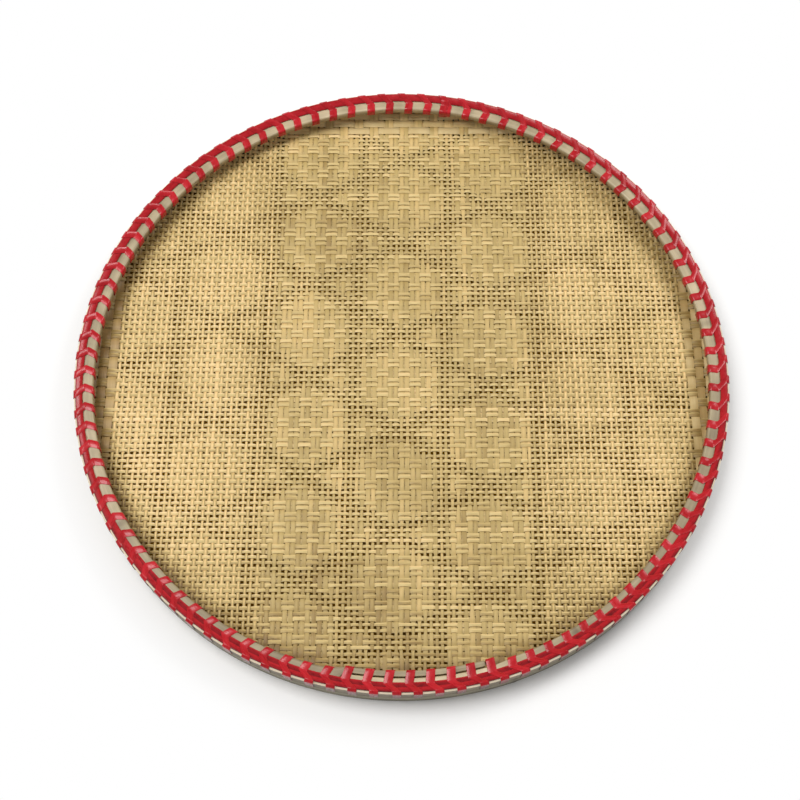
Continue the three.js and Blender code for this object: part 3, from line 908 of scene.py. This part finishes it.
# The slope of the rim's top in profile, as (radius, height)
SLOPE_ALONG = np.array([SLOPE_WIDTH, SLOPE_HEIGHT]) / math.hypot(SLOPE_WIDTH, SLOPE_HEIGHT)
SLOPE_ACROSS = np.array([-SLOPE_ALONG[1], SLOPE_ALONG[0]])
BINDING_LOWER_OUTER = np.array([BINDING_RADIUS, BINDING_TOP - BINDING_THICKNESS * SLOPE_ACROSS[1]])
BINDING_LOWER_INNER = BINDING_LOWER_OUTER - BINDING_WIDTH * SLOPE_ALONG
BINDING_UPPER_INNER = BINDING_LOWER_INNER + BINDING_THICKNESS * SLOPE_ACROSS
BINDING_STEPS_PER_STITCH = 6
# The strip's inner edge lies this much further up the slope than the CAD's
BINDING_TUCK = 0.6
# Its edges are rounded over this width, and its inner edge is sunk into the slope
BINDING_EDGE = 0.3
BINDING_SINK = 0.4
# On the near side the strip is wider and its inner part lies level on the lath, to this radius
FLAP_RADIUS = INNER_HOOP_RADIUS - 1.4
FLAP_RISE = 0.02
FLAP_SINK = 0.5
# The strip's outer edge has painted shade; away from the near side most of it is taken off, and
# the edges are nearly as bright as its crown
CROWN_TONE = 0.55
EDGE_SHADE_EVENING = 0.75
# Where the flap starts and is full, and where the evening starts to fade and is gone, as the
# nearness of the rim, from -1 at the far side to 1 at the near side
FLAP_RUN = (0.42, 0.72)
EDGE_SHADE_EVENING_RUN = (-0.2, 0.4)


def slope_radius(height):
    """Where the strap's middle line crosses this height on its way up the binding strip."""
    start = BINDING_UPPER_INNER + (STRAP_REACH + BINDING_CROWN) * SLOPE_ACROSS
    return start[0] + (height - start[1]) * SLOPE_WIDTH / SLOPE_HEIGHT


def binding_strip():
    """The strip along the rim, lying on the slope with a slight crown."""
    steps = STITCHES * BINDING_STEPS_PER_STITCH
    angle = np.arange(steps) / steps * TURN
    # Corners of its profile, as (distance up the slope, height over it, tone); the low tones of its
    # outer edge are painted shade
    start = BINDING_TUCK
    profile = [
        (start, -BINDING_SINK, 0.35),
        (BINDING_WIDTH, 0, -0.1),
        (BINDING_WIDTH, BINDING_THICKNESS - BINDING_EDGE / 2, -0.1),
        (BINDING_WIDTH - BINDING_EDGE, BINDING_THICKNESS, 0.2),
        (BINDING_WIDTH / 2, BINDING_THICKNESS + BINDING_CROWN, 0.5),
        (start + BINDING_EDGE, BINDING_THICKNESS, 0.56),
        (start, BINDING_THICKNESS / 2, 0.5),
    ]
    # Where its inner corners go on the near side, as (radius, height)
    level = INNER_HOOP_TOP + FLAP_RISE
    crease = slope_radius(level + STRAP_REACH)
    flap = {0: (FLAP_RADIUS, level - FLAP_SINK), 5: (crease, level), 6: (FLAP_RADIUS, level)}
    flap_share = smooth(*FLAP_RUN, -np.sin(angle))
    rows, across = [], []
    for number, (along, up, _) in enumerate(profile):
        place = BINDING_LOWER_INNER + along * SLOPE_ALONG + up * SLOPE_ACROSS
        moved = flap.get(number, place)
        radius, z = (place[k] + (moved[k] - place[k]) * flap_share for k in (0, 1))
        rows.append(ring_points(radius, angle, z))
        across.append(along)
    rows = np.stack(rows, axis=1)
    grain = np.zeros(rows.shape)
    grain[..., 0] = (angle * BINDING_RADIUS)[:, None]
    grain[..., 1] = np.array(across)[None, :]
    shade_evening = EDGE_SHADE_EVENING * (1 - smooth(*EDGE_SHADE_EVENING_RUN, -np.sin(angle)))[:, None]
    tone = np.array([tone for _, _, tone in profile])[None, :]
    tone = tone + shade_evening * (CROWN_TONE - tone)
    skin = Skin()
    skin.add(rows, grain, tone, closed_along=True)
    piece = skin.build("binding_strip", STRAP_RED, (0, 1))
    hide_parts("rim_binding_strip")


# The lashing, whose stitches are spaced by hand

DRIFT_MEAN = math.radians(2.59)
DRIFT_COSINE = math.radians(-2.43)
DRIFT_SINE = math.radians(0.6)
DRIFT_COSINE_TWICE = math.radians(-0.91)
# On the inside a stitch lies this far along the rim from where its angle is, and up to LEAN_LEFT
# more at the left, most at LEAN_TURN past it. Shares of that are left at the lath and the fold
LEAN = 1.0
LEAN_LEFT = 4.2
LEAN_TURN = 0.35
LATH_LEAN_SHARE = 0.8
FOLD_LEAN_SHARE = 0.1
LEAN_SPREAD = 0.5
CREST_SPREAD = 0.45
# The strap turns down this far under the outer hoop's top
CREST_DROP = 0.6
# Lengths over which the strap's corners are rounded
HIDDEN_ROUND = 0.4
SLOT_ROUND = 0.9
LATH_ROUND = 2.0
FOLD_ROUND = 1.0
CREST_ROUND = 0.7
FACE_ROUND = 0.9
UNDER_ROUND = 0.6
# No rounding takes more than this share of the straight run beside it
ROUND_SHARE = 0.45
ROUND_PLACES = (0.0, 0.25, 0.5, 0.75, 1.0)
# A length's hidden ends reach this share of the way to the neighbouring length
HIDDEN_END_SHARE = 0.45
# How far along the rim the strap's last end lies from the stitch under it, and how far up the
# slope of the binding strip it reaches
END_SHIFT = 3.2
END_SHARE = 0.7
# The strap has painted shade on the outer face, below the outer hoop's top edge
OUTER_FACE_SHADE_TONE = 0.45
OUTER_FACE_SHADE_FROM = 0.4
OUTER_FACE_SHADE_TO = 2.4
STRAP_TONE = 0.56
STRAP_RIPPLE = (0.1, 37.0)
# Keeps the scuffs of the lengths apart
LENGTH_OFFSET = 500
# Corners of the strap's section, as shares of its half width and half thickness, with where
# each lies across the grain
STRAP_CORNERS = (
    (-1, -0.5, -3.2), (-0.94, -1, -3.0), (0.94, -1, 3.0), (1, -0.5, 3.2),
    (1, 0.5, 3.3), (0.94, 1, 3.1), (-0.94, 1, -3.1), (-1, 0.5, -3.3),
)


def drifted(angle):
    """Where even spacing's angle lies on the hand-spaced rim."""
    drift = DRIFT_MEAN + DRIFT_COSINE * np.cos(angle) + DRIFT_SINE * np.sin(angle)
    return angle + drift + DRIFT_COSINE_TWICE * np.cos(2 * angle)


def lap_reach(angle):
    """How much further in a stitch goes at this angle, to hold both ends of the inner hoop."""
    inner = INNER_HOOP_RADIUS - INNER_HOOP_WIDTH
    spread = (STRAP_WIDTH / 2 + CLEARANCE) / inner
    reach = 0.0
    for offset in (-spread, 0, spread):
        along = (angle + offset - LAP_START) % TURN
        share = 1.0 if along <= LAP_LENGTH / inner else float(lap_step(along))
        reach = max(reach, share * LAP_OFFSET)
    return reach


def stitch_path(stitch, jitter):
    """Corners of one stitch as (radius, angle, height, length of its rounding)."""
    in_angle = float(drifted(stitch * TURN / STITCHES))
    out_angle = float(drifted(stitch * TURN / STITCHES + STRAP_TOP_RUN / OUTER_HOOP_RADIUS))
    inner_face = INNER_HOOP_RADIUS - INNER_HOOP_WIDTH - STRAP_REACH - lap_reach(in_angle)
    outer_face = OUTER_HOOP_RADIUS + STRAP_REACH
    gap = OUTER_HOOP_RADIUS - OUTER_HOOP_THICKNESS - STRAP_REACH
    hoop_top = INNER_HOOP_TOP + STRAP_REACH
    top = BINDING_TOP + STRAP_REACH
    slot = INNER_HOOP_BOTTOM - STRAP_REACH
    bottom = OUTER_HOOP_BOTTOM - STRAP_REACH
    left = max(0.0, -math.cos(in_angle - LEAN_TURN))
    lean = (LEAN + LEAN_LEFT * left + jitter[0]) / inner_face
    out_angle += jitter[1] / outer_face
    return [
        (gap, in_angle + lean, slot, HIDDEN_ROUND),
        (inner_face, in_angle + lean, slot, SLOT_ROUND),
        (inner_face, in_angle + LATH_LEAN_SHARE * lean, hoop_top, LATH_ROUND),
        (slope_radius(hoop_top), in_angle + FOLD_LEAN_SHARE * lean, hoop_top, FOLD_ROUND),
        (slope_radius(top), out_angle, top, CREST_ROUND),
        (outer_face, out_angle, OUTER_HOOP_TOP - CREST_DROP + STRAP_REACH, FACE_ROUND),
        (outer_face, out_angle, bottom, UNDER_ROUND),
        (gap, out_angle, bottom, UNDER_ROUND),
    ]


def end_over_stitch(stitch, jitter):
    """Corners of the strap's end, which lies over part of this stitch and of the binding strip."""
    over = STRAP_THICKNESS + STRAP_GAP
    _, slot, side, top, crest, *_ = stitch_path(stitch, jitter)
    shift = END_SHIFT / side[0]
    end_radius = top[0] + END_SHARE * (crest[0] - top[0])
    end_height = top[2] + END_SHARE * (crest[2] - top[2])
    return [
        (slot[0] - over, slot[1] + shift, slot[2] - over, SLOT_ROUND),
        (side[0] - over, side[1] + shift, side[2] + over, LATH_ROUND),
        (top[0] - over, top[1] + shift, top[2] + over, FOLD_ROUND),
        (end_radius - over, top[1] + shift, end_height + over, FOLD_ROUND),
    ]


def rounded_path(corners):
    """Points along a path with each corner rounded, in millimetres."""
    places = [np.array([r * math.cos(a), r * math.sin(a), z]) for r, a, z, _ in corners]
    out = [places[0]]
    for i in range(1, len(places) - 1):
        before = places[i - 1] - places[i]
        after = places[i + 1] - places[i]
        cut_in = min(corners[i][3], ROUND_SHARE * np.linalg.norm(before))
        cut_out = min(corners[i][3], ROUND_SHARE * np.linalg.norm(after))
        start = places[i] + before / np.linalg.norm(before) * cut_in
        end = places[i] + after / np.linalg.norm(after) * cut_out
        for t in ROUND_PLACES:
            out.append((1 - t) ** 2 * start + 2 * t * (1 - t) * places[i] + t * t * end)
        out.append((end + places[i + 1]) / 2)
    out.append(places[-1])
    return np.array(out)


def strap_along(corners, number):
    """The strap's points along a path through these corners, with its grain and tone."""
    path = rounded_path(corners)
    tangent = np.gradient(path, axis=0)
    tangent /= np.linalg.norm(tangent, axis=1)[:, None]
    angle = np.arctan2(path[:, 1], path[:, 0])
    rimwise = np.stack([-np.sin(angle), np.cos(angle), 0 * angle], axis=-1)
    outward = np.cross(tangent, rimwise)
    outward /= np.linalg.norm(outward, axis=1)[:, None]
    along = np.concatenate([[0], np.cumsum(np.linalg.norm(np.diff(path, axis=0), axis=1))])
    rows, across = [], []
    for width_share, thickness_share, grain_across in reversed(STRAP_CORNERS):
        sideways = rimwise * (width_share * STRAP_WIDTH / 2)
        rows.append(path + sideways + outward * (thickness_share * STRAP_THICKNESS / 2))
        across.append(grain_across)
    rows = np.stack(rows, axis=1)
    grain = np.zeros(rows.shape)
    grain[..., 0] = along[:, None] + LENGTH_OFFSET * number
    grain[..., 1] = np.array(across)[None, :]
    outside = np.hypot(path[:, 0], path[:, 1]) > OUTER_HOOP_RADIUS
    # Painted shade on the strap's outer face
    outer_face_shade = outside * (1 - smooth(OUTER_HOOP_TOP - OUTER_FACE_SHADE_TO, OUTER_HOOP_TOP - OUTER_FACE_SHADE_FROM, path[:, 2]))
    tone = STRAP_TONE + ripple(STRAP_RIPPLE, along, number) - OUTER_FACE_SHADE_TONE * outer_face_shade
    return rows, grain, tone[:, None]


def lashing(number, first, last, jitters):
    """One length of the lashing, from its hidden start to its hidden end."""
    corners = []
    for stitch in range(first, last + 1):
        corners.extend(stitch_path(stitch, jitters[stitch % STITCHES]))
    before = stitch_path(first - 1, jitters[(first - 1) % STITCHES])[-1]
    after = stitch_path(last + 1, jitters[(last + 1) % STITCHES])[0]
    share = HIDDEN_END_SHARE
    start = tuple(share * a + (1 - share) * b for a, b in zip(before, corners[0]))
    end = tuple((1 - share) * a + share * b for a, b in zip(corners[-1], after))
    skin = Skin()
    skin.add(*strap_along([start, *corners, end], number))
    if number == LASHING_LENGTHS:
        skin.add(*strap_along(end_over_stitch(last, jitters[last % STITCHES]), number))
    piece = skin.build(f"lashing_{number}", STRAP_RED)
    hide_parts(f"lashing_strap_{number}")


def all_lashing():
    """The five lengths, which follow each other round the rim."""
    leans = LEAN_SPREAD * rng.standard_normal(STITCHES)
    crests = CREST_SPREAD * rng.standard_normal(STITCHES)
    jitters = np.stack([leans, crests], axis=1)
    per_length = math.ceil(STITCHES / LASHING_LENGTHS)
    for length in range(LASHING_LENGTHS):
        first = FIRST_STITCH + length * per_length
        last = min(first + per_length, FIRST_STITCH + STITCHES) - 1
        lashing(length + 1, first, last, jitters)


# Floor, light and camera

FLOOR_HALF = 6000.0
WHITE_FROM = 248.0
WHITE_TO = 290.0
# The ground under the basket, seen through the holes of the mat, is painted dark brown as
# painted shade, and the floor is white all round the basket
UNDER_SHADE_COLOUR = "#865d14"
PAPER_COLOUR = "#fbfaf8"
UNDER_SHADE_FROM = 244.5
UNDER_SHADE_TO = 249.0


def floor():
    """A pale floor that keeps the basket's shadow, has painted shade in dark brown under it, and
    turns white away from it.
    """
    mesh = bpy.data.meshes.new("floor")
    half = FLOOR_HALF * MM
    corners = [(-half, -half, 0), (half, -half, 0), (half, half, 0), (-half, half, 0)]
    mesh.from_pydata(corners, [], [(0, 1, 2, 3)])
    plane = bpy.data.objects.new("floor", mesh)
    bpy.context.scene.collection.objects.link(plane)
    m = Maker("floor_paper")
    place = m.add("ShaderNodeNewGeometry").outputs["Position"]
    distance = m.add("ShaderNodeVectorMath", {"operation": "LENGTH"}, in_0=place).outputs["Value"]
    under_shade = m.add("ShaderNodeMapRange", in_0=distance, in_1=UNDER_SHADE_FROM * MM, in_2=UNDER_SHADE_TO * MM,
                  in_3=0.0, in_4=1.0)
    ground = m.add("ShaderNodeMix", {"data_type": "RGBA"}, in_0=under_shade.outputs[0],
                   in_6=linear(UNDER_SHADE_COLOUR), in_7=linear(PAPER_COLOUR))
    paper = m.add("ShaderNodeBsdfDiffuse", color=ground.outputs[2])
    away = m.add("ShaderNodeMapRange", in_0=distance, in_1=WHITE_FROM * MM, in_2=WHITE_TO * MM,
                 in_3=0.0, in_4=1.0)
    path = m.add("ShaderNodeLightPath").outputs
    mirrored = m.add("ShaderNodeMath", {"operation": "MAXIMUM"}, in_0=path["Is Glossy Ray"],
                     in_1=path["Is Transmission Ray"])
    seen = m.add("ShaderNodeMath", {"operation": "MAXIMUM"}, in_0=path["Is Camera Ray"],
                 in_1=mirrored.outputs[0])
    factor = m.add("ShaderNodeMath", {"operation": "MULTIPLY"}, in_0=away.outputs[0],
                   in_1=seen.outputs[0])
    white = m.add("ShaderNodeEmission", color=(1, 1, 1, 1), strength=1.0)
    shader = m.add("ShaderNodeMixShader", in_0=factor.outputs[0], in_1=paper.outputs[0],
                   in_2=white.outputs[0])
    mesh.materials.append(m.finish(shader))


# Even light from all sides, a large soft box from the left and above, and a weaker window from
# the far right
STUDIO_LIGHT = 0.36
KEY_PLACE = (-700.0, 120.0, 1750.0)
KEY_SIZE = (900.0, 900.0)
KEY_POWER = 23.5
WINDOW_PLACE = (950.0, 800.0, 1200.0)
WINDOW_SIZE = (450.0, 700.0)
WINDOW_POWER = 10.0


def area_light(name, place, size, power):
    """A lamp of this size that faces the middle of the basket."""
    data = bpy.data.lights.new(name, "AREA")
    data.shape = "RECTANGLE"
    data.size, data.size_y = (side * MM for side in size)
    data.energy = power
    lamp = bpy.data.objects.new(name, data)
    lamp.location = Vector(place) * MM
    lamp.rotation_euler = (-Vector(place)).to_track_quat("-Z", "Y").to_euler()
    bpy.context.scene.collection.objects.link(lamp)


def light():
    world = bpy.data.worlds.new("studio")
    world.use_nodes = True
    background = world.node_tree.nodes["Background"]
    background.inputs["Color"].default_value = (1, 1, 1, 1)
    background.inputs["Strength"].default_value = STUDIO_LIGHT
    bpy.context.scene.world = world
    area_light("key_softbox", KEY_PLACE, KEY_SIZE, KEY_POWER)
    area_light("window", WINDOW_PLACE, WINDOW_SIZE, WINDOW_POWER)


# Fitted to the ellipse of the rim in the photo
CAMERA_DOWN = math.radians(67.43)
CAMERA_PLACE = (-1.15, -393.6, 903.5)
CAMERA_LENS = 56.6
CAMERA_SENSOR = 36.0
NEAREST_SEEN = 10.0


def camera():
    data = bpy.data.cameras.new("camera")
    data.lens = CAMERA_LENS
    data.sensor_width = CAMERA_SENSOR
    data.clip_start = NEAREST_SEEN * MM
    place = bpy.data.objects.new("camera", data)
    place.location = [value * MM for value in CAMERA_PLACE]
    place.rotation_euler = (math.pi / 2 - CAMERA_DOWN, 0, 0)
    bpy.context.scene.collection.objects.link(place)
    bpy.context.scene.camera = place


camera()
light()
floor()
weave()
outer_hoop()
foot_hoop()
inner_hoop()
binding_strip()
all_lashing()

bpy.context.scene.view_settings.view_transform = "Standard"
